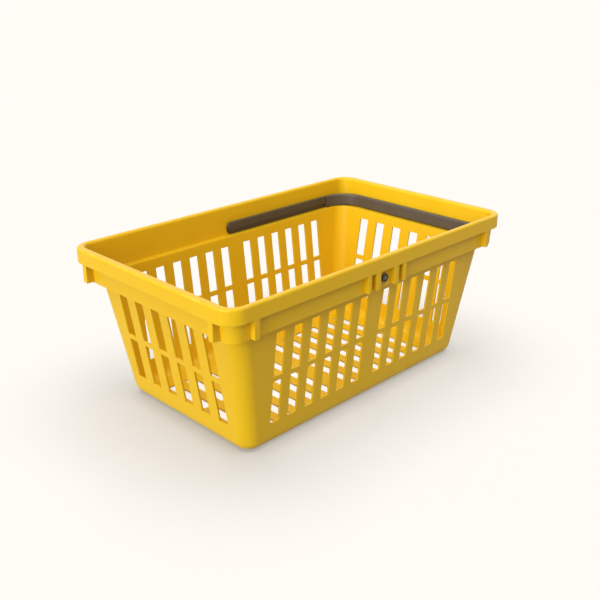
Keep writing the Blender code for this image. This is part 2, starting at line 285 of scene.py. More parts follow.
@dataclass
class Surface:
    """Points and faces of one piece, gathered from grids.

    Attributes:
        points: Arrays of points, each n by 3.
        quads: Arrays of faces, each n by 4, as indices into all points.
        wear: One wear value from 0 to 1 for each point.
        count: Number of points so far.
    """

    points: list[Array] = field(default_factory=list)
    quads: list[Array] = field(default_factory=list)
    wear: list[Array] = field(default_factory=list)
    count: int = 0

    def place(self, grid: Array, wear: Array | float = 0.0) -> Array:
        """Add a grid's points.

        Args:
            grid: Points, rows by columns by 3.
            wear: Wear at each point, or for each row.

        Returns:
            The index of each point, rows by columns.
        """
        rows, cols = grid.shape[:2]
        amount = np.asarray(wear, dtype=float)
        if amount.ndim == 1:
            amount = amount[:, None]
        index = self.count + np.arange(rows * cols).reshape(rows, cols)
        self.points.append(grid.reshape(-1, 3))
        self.wear.append(np.broadcast_to(amount, (rows, cols)).ravel())
        self.count += rows * cols
        return index

    def face(self, a: Array, b: Array, c: Array, d: Array) -> None:
        """Add one quad for each place of four equal index arrays."""
        self.quads.append(np.stack([a, b, c, d], axis=-1).reshape(-1, 4))

    def skin(self, grid: Array, wear: Array | float = 0.0, along: bool = False) -> None:
        """Add a grid whose last column joins its first, with a quad in each of its cells.

        Args:
            grid: Points, rows by columns by 3.
            wear: Wear at each point, or for each row.
            along: Whether the last row joins the first.
        """
        index = self.place(grid, wear)
        index = np.concatenate([index, index[:, :1]], axis=1)
        if along:
            index = np.concatenate([index, index[:1]], axis=0)
        self.face(index[:-1, :-1], index[:-1, 1:], index[1:, 1:], index[1:, :-1])

    def block(self, ends: Array, wear: float) -> None:
        """Add a four-sided block from its two end outlines, each closed at its middle.

        Args:
            ends: The two outlines, 2 by 4 by 3.
            wear: Wear of the whole block.
        """
        poles = ends.mean(axis=1, keepdims=True) * np.ones((1, 4, 1))
        self.skin(np.concatenate([poles[:1], ends, poles[1:]]), wear)

    def thick_sheet(self, top: Array, under: Array, keep: Array, wear: Array | float,
                    around: bool, close_last: bool = False) -> None:
        """Add a sheet with two faces, open where cells are left out and walled round each opening.

        Args:
            top: Points of the upper face, rows by columns by 3.
            under: Points of the lower face, matching the upper one.
            keep: Which cells are solid, one fewer than the points along each open direction.
            wear: Wear at each point, or for each row.
            around: Whether the last column joins the first.
            close_last: Whether the last row gets an edge wall.
        """
        upper, lower = self.place(top, wear), self.place(under, wear)
        if around:
            upper = np.concatenate([upper, upper[:, :1]], axis=1)
            lower = np.concatenate([lower, lower[:, :1]], axis=1)
        for index, flip in ((upper, False), (lower, True)):
            a, b = index[:-1, :-1][keep], index[:-1, 1:][keep]
            c, d = index[1:, 1:][keep], index[1:, :-1][keep]
            self.face(*((a, d, c, b) if flip else (a, b, c, d)))
        beside = np.concatenate([keep[:, -1:], keep, keep[:, :1]], axis=1)
        if not around:
            beside[:, 0], beside[:, -1] = keep[:, 0], keep[:, -1]
        upright = beside[:, :-1] != beside[:, 1:]
        if around:
            upright[:, -1] = False
        self.face(upper[:-1][upright], upper[1:][upright],
                  lower[1:][upright], lower[:-1][upright])
        level = np.zeros((keep.shape[0] + 1, keep.shape[1]), dtype=bool)
        level[1:-1] = keep[:-1] != keep[1:]
        if close_last:
            level[-1] = True
        self.face(upper[:, :-1][level], upper[:, 1:][level],
                  lower[:, 1:][level], lower[:, :-1][level])

    def piece(self, name: str, bevel: float) -> bpy.types.Object:
        """Turn the gathered grids into a closed, smooth object at the origin.

        Points closer than the merge distance become one, which closes seams and poles, and a
        small bevel rounds the remaining sharp edges.

        Args:
            name: Name of the piece.
            bevel: Width of the rounding in metres, or 0 for none.

        Returns:
            The finished object.
        """
        mesh = bpy.data.meshes.new(name)
        points, quads = np.concatenate(self.points), np.concatenate(self.quads)
        mesh.from_pydata(points, [], quads)
        attribute = mesh.attributes.new("wear", "FLOAT", "POINT")
        attribute.data.foreach_set("value", np.concatenate(self.wear).astype(np.float32))
        work = bmesh.new()
        work.from_mesh(mesh)
        bmesh.ops.remove_doubles(work, verts=work.verts[:], dist=MERGE_DISTANCE)
        bmesh.ops.dissolve_degenerate(work, edges=work.edges[:], dist=MERGE_DISTANCE)
        bmesh.ops.recalc_face_normals(work, faces=work.faces[:])
        work.to_mesh(mesh)
        work.free()
        mesh.shade_smooth()
        obj = bpy.data.objects.new(name, mesh)
        bpy.context.collection.objects.link(obj)
        if bevel:
            rounding = obj.modifiers.new("edge_rounding", "BEVEL")
            rounding.width = bevel
            rounding.segments = ROUNDING_FACES
            rounding.limit_method = "ANGLE"
            rounding.angle_limit = SHARP_EDGE
            rounding.use_clamp_overlap = False
            normals = obj.modifiers.new("even_shading", "WEIGHTED_NORMAL")
            normals.weight = FACE_WEIGHT
        return obj


def turned(profile: Array, axis_z: float, side: int, steps: int = 40) -> Array:
    """Turn a profile about the line through the pivots.

    The point at (row, angle) is (r cos angle, side y, axis_z + r sin angle), with y and r taken
    from the profile's row.

    Args:
        profile: Rows of (distance from the middle plane, radius).
        axis_z: Height of the axis.
        side: 1 or -1, the side of the basket.
        steps: Points round the axis.

    Returns:
        Points, rows by steps by 3.
    """
    angle = np.linspace(0, math.tau, steps, endpoint=False)
    away, radius = profile[:, :1], profile[:, 1:]
    return np.stack([radius * np.cos(angle), np.broadcast_to(side * away, (len(profile), steps)),
                     axis_z + radius * np.sin(angle)], axis=-1)


def quarter(centre: tuple[float, float], radius: float, start: float, steps: int,
            turn: float = 90.0) -> Array:
    """Points of an arc: centre + radius (cos a, sin a), a from start over turn degrees."""
    angle = np.radians(np.linspace(start, start + turn, steps + 1))
    return np.stack([centre[0] + radius * np.cos(angle), centre[1] + radius * np.sin(angle)], -1)


def near_any(value: Array, middles: Array, width: float) -> Array:
    """Whether each value lies within half a width of any of the middles."""
    return (np.abs(value[..., None] - middles) < width / 2).any(axis=-1)


def hand_over(piece: bpy.types.Object, finish: MouldedPlastic, node: str, body: Body) -> bpy.types.Object:
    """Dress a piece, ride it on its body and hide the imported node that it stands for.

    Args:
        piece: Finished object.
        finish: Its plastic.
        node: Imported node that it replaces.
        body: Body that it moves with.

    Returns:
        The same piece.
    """
    piece.data.materials.append(bpy.data.materials.get(finish.name) or finish.build())
    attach(piece, body.value)
    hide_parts(node)
    LOG.info("%s: %d points, rides on %s", piece.name, len(piece.data.vertices), body.value)
    return piece


# ---------------------------------------------------------------- the tub


@dataclass
class Tub:
    """The slotted tub with its rim, ledge and ribs, all one moulding.

    The fields from wall_rows to hole_guard place rows and columns that only keep the shading even
    beside an edge. wall_rows and band_rows are heights, and lip_rows are depths below the top.
    """

    rim_x: float
    rim_y: float
    height: float
    base_x: float = 0.19175
    base_y: float = 0.1102
    wall: float = 0.0025
    rim_width: float = 0.0078
    rim_end_extra: float = 0.0028
    rim_corner: float = 0.023
    outer_edge: float = 0.0024
    inner_edge: float = 0.0030
    lip_depth: float = 0.0177
    lip_inner_fillet: float = 0.0004
    band_corner: float = 0.014
    band_draft: float = 0.0017
    ledge_depth: float = 0.0385
    side_inset: float = 0.0160
    end_inset: float = 0.0230
    wall_corner: float = 0.019
    base_fillet: float = 0.012
    side_slot: float = 0.0134
    side_pitch: float = 0.0268
    slots_per_half: int = 6
    pillar: float = 0.0262
    end_slot: float = 0.0146
    end_pitch: float = 0.0307
    end_slots: int = 6
    slot_low: float = 0.0301
    slot_top_margin: float = 0.0512
    slot_bar: float = 0.0064
    floor_slot_end: float = 0.078
    floor_bar: float = 0.0064
    pivot_hole: float = 0.0037
    pivot_z: float = 0.1672
    rib_width: float = 0.0077
    rib_setback: float = 0.0002
    rib_foot: float = 0.0015
    rib_draft: float = 0.0003
    end_rib_inset: float = 0.0290
    side_rib_inset: float = 0.0370
    pivot_ribs: tuple[tuple[float, float], ...] = ((0.0161, 0.0076), (0.0314, 0.0058))
    corner_steps: int = 14
    edge_rounding: float = 0.00045
    wall_rows: tuple[float, ...] = (0.021, 0.0265, 0.149, 0.1525)
    band_rows: tuple[float, ...] = (0.178, 0.186)
    lip_rows: tuple[float, ...] = (0.0045, 0.010)
    near_edge: float = 0.002
    hole_guard: float = 0.0075

    @classmethod
    def from_frame(cls) -> Tub:
        """Take the rim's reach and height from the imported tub, and the pivots' height."""
        _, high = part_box("basket_body")
        axis = frame["record"]["behaviour"]["joints"][0]["pos_m"]
        return cls(rim_x=high[0], rim_y=high[1], height=high[2], pivot_z=axis[2])

    @property
    def ledge_z(self) -> float:
        """Height of the ledge's upper face."""
        return self.height - self.ledge_depth

    @property
    def step_z(self) -> float:
        """Height of the ledge's lower face."""
        return self.ledge_z - self.wall

    @property
    def lip_z(self) -> float:
        """Height of the lip's lower edge."""
        return self.height - self.lip_depth

    @property
    def foot_inset(self) -> float:
        """How far the band's foot stands in from the rim's outer face."""
        return self.rim_width + self.band_draft

    @property
    def hole_steps(self) -> Array:
        """Places across a pivot hole, from its middle: its edges, its halves and its middle."""
        return self.pivot_hole * np.array([-1, -0.5, 0, 0.5, 1])

    def band_inset(self, z: Array) -> Array:
        """Distance in from the rim to the band's inner face: a straight draft, foot to top."""
        top = self.height - self.inner_edge
        return self.rim_width + self.band_draft * (top - z) / (top - self.ledge_z)

    def slot_places(self) -> Array:
        """Middles of the slots along a long wall: two even rows either side of the pillar."""
        half = (self.pillar + self.side_slot) / 2 + self.side_pitch * np.arange(
            self.slots_per_half)
        return np.concatenate([-half[::-1], half])

    def end_places(self) -> Array:
        """Middles of the slots along an end wall: one even row about the middle."""
        return (np.arange(self.end_slots) - (self.end_slots - 1) / 2) * self.end_pitch

    def slot_rows(self) -> Array:
        """Lowest and highest height of the lower and the upper row of wall slots."""
        top = self.height - self.slot_top_margin
        tall = (top - self.slot_low - self.slot_bar) / 2
        return np.array([[self.slot_low, self.slot_low + tall], [top - tall, top]])

    def wall_row(self, z: Array, inset: Array, corner: Array) -> Array:
        """Rows of the tapered wall: half sizes grow in a straight line with height.

        Args:
            z: Heights.
            inset: Distance in from the wall's outer face.
            corner: Corner radii.

        Returns:
            Rows of (half x, half y, corner radius, z).
        """
        z, inset, corner = np.broadcast_arrays(*(np.asarray(v, float) for v in
                                                 (z, inset, corner)))
        lean_x = (self.rim_x - self.end_inset - self.base_x) / self.step_z
        lean_y = (self.rim_y - self.side_inset - self.base_y) / self.step_z
        return np.stack([self.base_x + lean_x * z - inset, self.base_y + lean_y * z - inset,
                         corner, z], axis=-1)

    def band_row(self, inset: Array, z: Array) -> Array:
        """Rows of the band: the rim's outline moved in by inset, and further in at the ends."""
        inset, z = np.broadcast_arrays(np.asarray(inset, float), np.asarray(z, float))
        return np.stack([self.rim_x - inset - self.rim_end_extra, self.rim_y - inset,
                         self.band_corner + self.rim_width - inset, z], axis=-1)

    def lip_row(self, inset: Array, z: Array) -> Array:
        """Rows of the lip: the rim's outline moved in by inset."""
        inset, z = np.broadcast_arrays(np.asarray(inset, float), np.asarray(z, float))
        return np.stack([self.rim_x - inset, self.rim_y - inset, self.rim_corner - inset, z], -1)

    def section(self) -> tuple[Array, Array, Array]:
        """Rows of the section from the floor, up the wall, over the rim and down the lip.

        The upper face is the one seen from inside and above, the under face the one seen from
        outside and below. Fillets and edges are quarter arcs, walls are straight.

        Returns:
            Rows of the upper face, rows of the under face, and the wear of each row.
        """
        turn = np.linspace(0, math.pi / 2, 7)
        inner = self.base_fillet - self.wall
        upper = [self.wall_row(self.wall, self.wall_corner, 0.0)[None],
                 self.wall_row(self.wall + inner * (1 - np.cos(turn)),
                               self.wall + inner * (1 - np.sin(turn)),
                               self.wall_corner - self.wall - inner * (1 - np.sin(turn)))]
        under = [self.wall_row(0.0, self.wall_corner, 0.0)[None],
                 self.wall_row(self.base_fillet * (1 - np.cos(turn)),
                               self.base_fillet * (1 - np.sin(turn)),
                               self.wall_corner - self.base_fillet * (1 - np.sin(turn)))]
        wear = [np.array([0.0]), np.array([0.2, 0.8, 1.0, 0.8, 0.5, 0.2, 0.0])]

        rows = self.slot_rows()
        heights = np.sort(np.concatenate([rows.ravel(), rows.mean(axis=1), self.wall_rows]))
        upper.append(self.wall_row(heights, self.wall, self.wall_corner - self.wall))
        under.append(self.wall_row(heights, 0.0, self.wall_corner))
        wear.append(np.zeros(len(heights)))

        upper.append(self.wall_row([self.ledge_z], self.wall, self.wall_corner - self.wall))
        under.append(self.wall_row([self.step_z], 0.0, self.wall_corner))
        upper.append(self.band_row([self.foot_inset], self.ledge_z))
        under.append(self.band_row([self.foot_inset - self.wall], self.step_z))
        wear.append(np.array([0.35, 0.0]))

        highest = self.height - self.inner_edge - self.near_edge / 2
        heights = np.concatenate([[self.ledge_z + self.near_edge],
                                  self.pivot_z + self.hole_steps, self.band_rows, [highest]])
        inset = self.band_inset(heights)
        upper.append(self.band_row(inset, heights))
        under.append(self.band_row(inset - self.wall, heights))
        wear.append(np.zeros(len(heights)))

        turn = np.linspace(0, math.pi / 2, 6)
        left = self.inner_edge - self.wall
        for radius, rows_out in ((self.inner_edge, upper), (left, under)):
            rows_out.append(self.band_row(
                self.rim_width - self.inner_edge + radius * np.cos(turn),
                self.height - self.inner_edge + radius * np.sin(turn)))
        wear.append(np.array([0.1, 0.3, 0.5, 0.5, 0.3, 0.15]))

        small = self.lip_inner_fillet
        upper.append(self.lip_row(self.outer_edge - self.outer_edge * np.sin(turn),
                                  self.height - self.outer_edge * (1 - np.cos(turn))))
        under.append(self.lip_row(self.wall + small - small * np.sin(turn),
                                  self.height - self.wall - small * (1 - np.cos(turn))))
        wear.append(np.array([0.2, 0.7, 1.0, 1.0, 0.6, 0.2]))

        heights = np.array([*(self.height - depth for depth in self.lip_rows),
                            self.lip_z + self.near_edge, self.lip_z])
        upper.append(self.lip_row(0.0, heights))
        under.append(self.lip_row(self.wall, heights))
        wear.append(np.array([0.0, 0.0, 0.1, 0.7]))
        return np.concatenate(upper), np.concatenate(under), np.concatenate(wear)

    def columns(self) -> tuple[Array, Array]:
        """Fixed places of the grid's columns along the long sides (x) and along the ends (y)."""
        slots = self.slot_places()
        half = self.side_slot / 2
        xs = np.concatenate([slots - half, slots, slots + half, self.hole_steps,
                             [-self.hole_guard, self.hole_guard]])
        slots = self.end_places()
        half = self.end_slot / 2
        ys = np.concatenate([slots - half, slots + half, [0.0],
                             [-self.floor_slot_end, self.floor_slot_end,
                              -self.floor_bar / 2, self.floor_bar / 2]])
        return np.unique(xs.round(7)), np.unique(ys.round(7))

    def rings(self, rows: Array, xs: Array, ys: Array) -> Array:
        """Points of rounded rectangles, anticlockwise from the +X side.

        Each corner is the arc centre + radius (cos a, sin a), and each straight side holds the
        fixed columns, so that edges of slots run straight up the wall.

        Args:
            rows: Rows of (half x, half y, corner radius, z).
            xs: Columns along the long sides, rising.
            ys: Columns along the ends, rising.

        Returns:
            Points, rows by columns by 3.
        """
        half_x, half_y, corner, z = (rows[:, i:i + 1] for i in range(4))
        spans = []
        for turn, (sx, sy) in enumerate(((1, 1), (-1, 1), (-1, -1), (1, -1))):
            angle = np.radians(90 * (turn + np.linspace(0, 1, self.corner_steps + 1)))
            spans.append((sx * (half_x - corner) + corner * np.cos(angle),
                          sy * (half_y - corner) + corner * np.sin(angle)))
            if turn % 2 == 0:
                line = xs[::-1] if sy > 0 else xs
                spans.append((np.broadcast_to(line, (len(rows), len(line))),
                              np.broadcast_to(sy * half_y, (len(rows), len(line)))))
            else:
                line = ys[::-1] if sx < 0 else ys
                spans.append((np.broadcast_to(sx * half_x, (len(rows), len(line))),
                              np.broadcast_to(line, (len(rows), len(line)))))
        x = np.concatenate([span[0] for span in spans], axis=1)
        y = np.concatenate([span[1] for span in spans], axis=1)
        return np.stack([x, y, np.broadcast_to(z, x.shape)], axis=-1)

    def solid_cells(self, top: Array) -> Array:
        """Which cells of the wall are solid: not in a slot and not in a pivot hole.

        Args:
            top: Points of the upper face.

        Returns:
            True for each solid cell.
        """
        joined = np.concatenate([top, top[:, :1]], axis=1)
        middle = (joined[:-1, :-1] + joined[1:, 1:]) / 2
        spread = np.abs(joined[:-1, :-1] - joined[:-1, 1:])
        x, y, z = middle[..., 0], middle[..., 1], middle[..., 2]
        long_side = spread[..., 1] < SAME_PLACE
        end_side = spread[..., 0] < SAME_PLACE
        in_row = ((z[..., None] > self.slot_rows()[:, 0])
                  & (z[..., None] < self.slot_rows()[:, 1])).any(axis=-1)
        in_slot = ((long_side & near_any(x, self.slot_places(), self.side_slot))
                   | (end_side & near_any(y, self.end_places(), self.end_slot)))
        hole = (np.abs(x) < self.pivot_hole) & (np.abs(z - self.pivot_z) < self.pivot_hole)
        return ~((in_row & in_slot) | (long_side & hole))

    def round_holes(self, grid: Array, outward: float) -> None:
        """Draw the edge of each square pivot opening into a circle.

        A point at (x, z) on the square's edge moves to hole radius times its direction, and
        its y follows the band's drafted face.

        Args:
            grid: Points of one face, changed in place.
            outward: Distance of this face from the band's inner face.
        """
        dx, dz = grid[..., 0], grid[..., 2] - self.pivot_z
        span = np.maximum(np.abs(dx), np.abs(dz))
        edge = np.abs(span - self.pivot_hole) < SAME_PLACE
        edge &= np.abs(grid[..., 1]) > self.rim_y - self.foot_inset - 1e-4
        length = np.hypot(dx[edge], dz[edge])
        grid[..., 0][edge] = dx[edge] * self.pivot_hole / length
        height = self.pivot_z + dz[edge] * self.pivot_hole / length
        away = self.rim_y - self.band_inset(height) + outward
        grid[..., 2][edge] = height
        grid[..., 1][edge] = np.sign(grid[..., 1][edge]) * away

    def add_floor(self, surface: Surface, xs: Array, ys: Array) -> None:
        """Add the flat floor inside the wall's ring, with its two rows of slots."""
        grids = []
        for z in (self.wall, 0.0):
            row = self.wall_row(z, self.wall_corner, 0.0)
            x = np.concatenate([[-row[0]], xs, [row[0]]])
            y = np.concatenate([[-row[1]], ys, [row[1]]])
            grids.append(np.stack([*np.meshgrid(x, y), np.full((len(y), len(x)), z)], axis=-1))
        middle = (grids[0][:-1, :-1] + grids[0][1:, 1:]) / 2
        in_x = near_any(middle[..., 0], self.slot_places(), self.side_slot)
        across = np.abs(middle[..., 1])
        in_y = (across > self.floor_bar / 2) & (across < self.floor_slot_end)
        surface.thick_sheet(*grids, ~(in_x & in_y), 0.15, around=False)

    def add_ribs(self, surface: Surface) -> None:
        """Add the ribs between band and lip: upright blocks, drawn slightly narrower downwards.

        A block's corner is (middle + half width) along the side by (near or far) across it, with
        the half width reduced by the draft at the foot.
        """
        low, high = self.step_z + self.rib_foot, self.lip_z + self.lip_depth / 2
        deep = self.foot_inset - self.wall / 2
        sides = [(self.rim_x - self.side_rib_inset, self.rib_width), *self.pivot_ribs]
        ends = [(self.rim_y - self.end_rib_inset, self.rib_width)]
        for along_x, ribs, reach, extra in ((True, sides, self.rim_y, 0.0),
                                            (False, ends, self.rim_x, self.rim_end_extra)):
            for place, width in ((s * p, w) for p, w in ribs for s in (-1, 1)):
                for side in (-1, 1):
                    half = np.array([width / 2 - self.rib_draft, width / 2])[:, None]
                    along = place + half * np.array([-1, 1, 1, -1])
                    back, front = reach - deep - extra, reach - self.rib_setback
                    away = side * np.array([back, back, front, front]) * np.ones((2, 1))
                    z = np.array([low, high])[:, None] * np.ones(4)
                    first, second = (along, away) if along_x else (away, along)
                    surface.block(np.stack([first, second, z], axis=-1), 0.25)

    def build(self) -> bpy.types.Object:
        """Build the tub as one closed piece and hand it over."""
        upper, under, wear = self.section()
        xs, ys = self.columns()
        top, bottom = self.rings(upper, xs, ys), self.rings(under, xs, ys)
        keep = self.solid_cells(top)
        self.round_holes(top, 0.0)
        self.round_holes(bottom, self.wall)
        surface = Surface()
        surface.thick_sheet(top, bottom, keep, wear, around=True, close_last=True)
        self.add_floor(surface, xs, ys)
        self.add_ribs(surface)
        piece = surface.piece("tub_moulding", self.edge_rounding)
        return hand_over(piece, TUB_YELLOW, "basket_body", Body.BASKET)


# ---------------------------------------------------------------- the handle


@dataclass
class Grip:
    """The thick grip: a rounded bar carried round two bends along the end of the basket."""

    outer_x: float
    outer_y: float
    start_x: float
    axis_z: float
    height: float = 0.0180
    thickness: float = 0.0059
    edge: float = 0.0027
    bend: float = 0.0350
    crown: float = 0.00012
    end_round: float = 0.0016
    edge_steps: int = 7
    bend_steps: int = 26

    @classmethod
    def from_frame(cls) -> Grip:
        """Take the grip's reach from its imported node."""
        low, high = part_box("handle_grip")
        return cls(outer_x=high[0], outer_y=high[1], start_x=low[0],
                   axis_z=(low[2] + high[2]) / 2, height=high[2] - low[2])

    def path(self) -> tuple[Array, Array]:
        """Plan points and outward directions of the centre line, from -Y round to +Y.

        Straight, a quarter circle of the bend radius, straight across, a second quarter circle
        and straight again.

        Returns:
            Points and unit directions, each n by 2.
        """
        run_y = self.outer_y - self.thickness / 2
        run_x = self.outer_x - self.thickness / 2
        centre_x, centre_y = run_x - self.bend, run_y - self.bend
        turn = np.radians(np.linspace(0, 90, self.bend_steps + 1))
        down = np.stack([np.sin(turn), -np.cos(turn)], axis=-1)
        straight = np.linspace(-1, 1, 9)[1:-1, None] * [0, centre_y] + [run_x, 0]
        lead = np.linspace(self.start_x, centre_x, 3)[:-1, None] * [1, 0]
        first = np.array([centre_x, -centre_y]) + self.bend * down
        points = np.concatenate([lead - [0, run_y], first, straight,
                                 first[::-1] * [1, -1], lead[::-1] + [0, run_y]])
        ways = np.concatenate([np.tile([0.0, -1.0], (2, 1)), down,
                               np.tile([1.0, 0.0], (len(straight), 1)),
                               down[::-1] * [1, -1], np.tile([0.0, 1.0], (2, 1))])
        return points, ways

    def outline(self, inset: float) -> Array:
        """Section of the bar: a tall rounded rectangle with faintly crowned faces.

        Args:
            inset: Distance in from the bar's skin.

        Returns:
            Points of (outward, up).
        """
        radius = self.edge - inset
        out, up = self.thickness / 2 - self.edge, self.height / 2 - self.edge
        corners = [quarter((sx * out, sz * up), radius, 90 * k, self.edge_steps)
                   for k, (sx, sz) in enumerate(((1, 1), (-1, 1), (-1, -1), (1, -1)))]
        rise = np.linspace(-up, up, 7)[1:-1]
        bulge = (out + radius) - self.crown * (rise / up) ** 2
        right = np.stack([bulge, rise], axis=-1)
        left = np.stack([-bulge, -rise], axis=-1)
        return np.concatenate([corners[0], corners[1], left, corners[2], corners[3], right])

    def build(self) -> bpy.types.Object:
        """Build the grip and hand it over.

        The surface is path point + outward part of the section along the path's outward
        direction + upward part along z. Each end is drawn in by an arc and closed at a pole.
        """
        points, ways = self.path()
        body = self.outline(0.0)

        def ring(point: Array, way: Array, section: Array) -> Array:
            """One section set across the path."""
            plan = point + section[:, :1] * way
            return np.concatenate([plan, self.axis_z + section[:, 1:]], axis=1)

        def closing(point: Array, way: Array) -> list[Array]:
            """The rings of one end, from its pole to where the full section starts."""
            rings = [ring(point + [self.end_round * (1 - math.cos(a)), 0], way,
                          self.outline(self.end_round * (1 - math.sin(a))))
                     for a in np.linspace(0, math.pi / 2, 5)[:-1]]
            pole = np.tile(rings[0].mean(axis=0), (len(body), 1))
            return [pole, *rings]

        first, last = closing(points[0], ways[0]), closing(points[-1], ways[-1])
        points[[0, -1], 0] += self.end_round
        middle = [ring(point, way, body) for point, way in zip(points, ways)]
        ends = np.full(len(first), 0.5)
        wear = np.concatenate([ends, np.full(len(middle), 0.25), ends])
        surface = Surface()
        surface.skin(np.array(first + middle + last[::-1]), wear)
        piece = surface.piece("grip_bar", 0.0)
        return hand_over(piece, GRIP_BROWN, "handle_grip", Body.HANDLE)


@dataclass
class Arm:
    """One arm: a strip with a raised pad on its inner face, a tongue and the pivot's stub."""

    side: Side
    outer_y: float
    end_x: float
    axis_z: float
    low_z: float
    high_z: float
    stub_end: float
    strip: float = 0.0013
    overrun: float = 0.0080
    end_radius: float = 0.0070
    pad: float = 0.0031
    pad_height: float = 0.0102
    pad_margin: float = 0.0004
    pad_radius: float = 0.0048
    far_radius: float = 0.0012
    joint_gap: float = 0.0006
    edge: float = 0.0005
    tongue_length: float = 0.0083
    tongue_height: float = 0.0110
    tongue_thickness: float = 0.0018
    tongue_root: float = 0.004
    stub: float = 0.0034
    stub_edge: float = 0.0003
    bore: float = 0.0013
    bore_depth: float = 0.0070
    fillet: float = 0.0003
    spine_back: float = 0.004
    spine_front: float = 0.003

    @classmethod
    def from_frame(cls, side: Side, grip: Grip) -> Arm:
        """Take the arm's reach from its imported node.

        Args:
            side: Which long side it lies along.
            grip: The grip that it carries.

        Returns:
            The arm.
        """
        low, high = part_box("handle_arm_" + side.word)
        stub_end = max(abs(low[1]), abs(high[1]))
        return cls(side=side, outer_y=grip.outer_y,
                   end_x=grip.start_x - CLEARANCE - cls.joint_gap,
                   axis_z=grip.axis_z, low_z=low[2], high_z=high[2], stub_end=stub_end)

    def outline(self, low: float, high: float, overrun: float, radius: float,
                inset: float) -> Array:
        """Side outline of a bar: rounded behind the pivot, nearly square at the grip.

        Args:
            low: Lowest height.
            high: Highest height.
            overrun: How far it reaches behind the pivot.
            radius: Radius of its corners behind the pivot.
            inset: Distance in from that outline.

        Returns:
            Points of (x, z), clockwise seen from -Y.
        """
        near = max(radius - inset, SMALLEST_RADIUS)
        far = max(self.far_radius - inset, SMALLEST_RADIUS)
        back, front = -overrun + radius, self.end_x - self.far_radius
        long_run = np.linspace(back, front, 12)[1:-1]
        return np.concatenate([
            quarter((back, low + radius), near, 180, 8),
            np.stack([long_run, np.full(10, low + inset)], axis=-1),
            quarter((front, low + self.far_radius), far, 270, 4),
            quarter((front, high - self.far_radius), far, 0, 4),
            np.stack([long_run[::-1], np.full(10, high - inset)], axis=-1),
            quarter((back, high - radius), near, 90, 8)])

    def ring(self, outline: Array, away: float) -> Array:
        """Set a side outline at a distance from the middle plane."""
        return np.stack([outline[:, 0], np.full(len(outline), self.side.value * away),
                         outline[:, 1]], axis=-1)

    def spine(self, outline: Array, away: float) -> Array:
        """Draw a ring in to its middle line, where its two long edges meet and close it."""
        middle = (outline[:, 1].min() + outline[:, 1].max()) / 2
        along = np.clip(outline[:, 0], -self.spine_back, self.end_x - self.spine_front)
        flat = np.stack([along, np.full(len(outline), middle)], axis=-1)
        return self.ring(flat, away)

    def add_strip(self, surface: Surface) -> None:
        """Add strip and pad as outlines stacked across the arm's thickness.

        Both edges are quarter arcs of the edge radius; the pad stands on the strip with a
        small fillet.
        """
        inner = self.outer_y - self.strip
        pad_high = self.high_z - self.pad_margin
        strip = (self.low_z, self.high_z, self.overrun, self.end_radius)
        pad = (pad_high - self.pad_height, pad_high, self.overrun - 2 * self.pad_margin,
               self.pad_radius)
        turn = np.linspace(0, math.pi / 2, 4)
        insets, drops = self.edge * (1 - np.sin(turn)), self.edge * (1 - np.cos(turn))
        rings = [self.spine(self.outline(*strip, self.edge), self.outer_y)]
        rings += [self.ring(self.outline(*strip, i), self.outer_y - d)
                  for i, d in zip(insets, drops)]
        rings += [self.ring(self.outline(*strip, i), inner + d)
                  for i, d in zip(insets[::-1], drops[::-1])]
        face = inner - self.pad
        rings += [self.ring(self.outline(*pad, -spread * self.fillet), inner - rise * self.fillet)
                  for spread, rise in ((1, 0), (1 / 3, 1 / 3), (0, 1))]
        rings += [self.ring(self.outline(*pad, i), face + d)
                  for i, d in zip(insets[::-1], drops[::-1])]
        rings.append(self.spine(self.outline(*pad, self.edge), face))
        wear = np.full(len(rings), 0.2)
        wear[-6:-2] = 0.8
        surface.skin(np.array(rings), wear)

    def add_tongue(self, surface: Surface) -> None:
        """Add the flat tongue that runs from inside the strip into the grip."""
        middle = self.outer_y - Grip.thickness / 2
        half_y, half_z = self.tongue_thickness / 2, self.tongue_height / 2
        corners = np.array([[-1, -1], [1, -1], [1, 1], [-1, 1]]) * [half_y, half_z]
        rows = (self.end_x - self.tongue_root, self.end_x + self.tongue_length)
        surface.block(np.stack([
            np.stack([np.full(4, x), self.side.value * middle + corners[:, 0],
                      self.axis_z + corners[:, 1]], axis=-1) for x in rows]), 0.0)

    def add_stub(self, surface: Surface) -> None:
        """Add the hollow stub that turns in the band, as a turned profile closed on the axis.

        Each shoulder has one point on its arc, 0.3 of the edge in from both faces.
        """
        end, small = self.stub_end, self.stub_edge
        root = self.outer_y - self.strip / 2
        profile = np.array([(root, 0.0), (root, self.stub), (end - small, self.stub),
                            (end - small * 0.3, self.stub - small * 0.3),
                            (end, self.stub - small), (end, self.bore + small),
                            (end - small * 0.3, self.bore + small * 0.3),
                            (end - small, self.bore), (end - self.bore_depth, self.bore),
                            (end - self.bore_depth, 0.0)])
        surface.skin(turned(profile, self.axis_z, self.side.value), 0.1)

    def build(self) -> bpy.types.Object:
        """Build the arm and hand it over."""
        surface = Surface()
        self.add_strip(surface)
        self.add_tongue(surface)
        self.add_stub(surface)
        piece = surface.piece("arm_" + self.side.word, 0.00015)
        return hand_over(piece, ARM_BROWN, "handle_arm_" + self.side.word, Body.HANDLE)


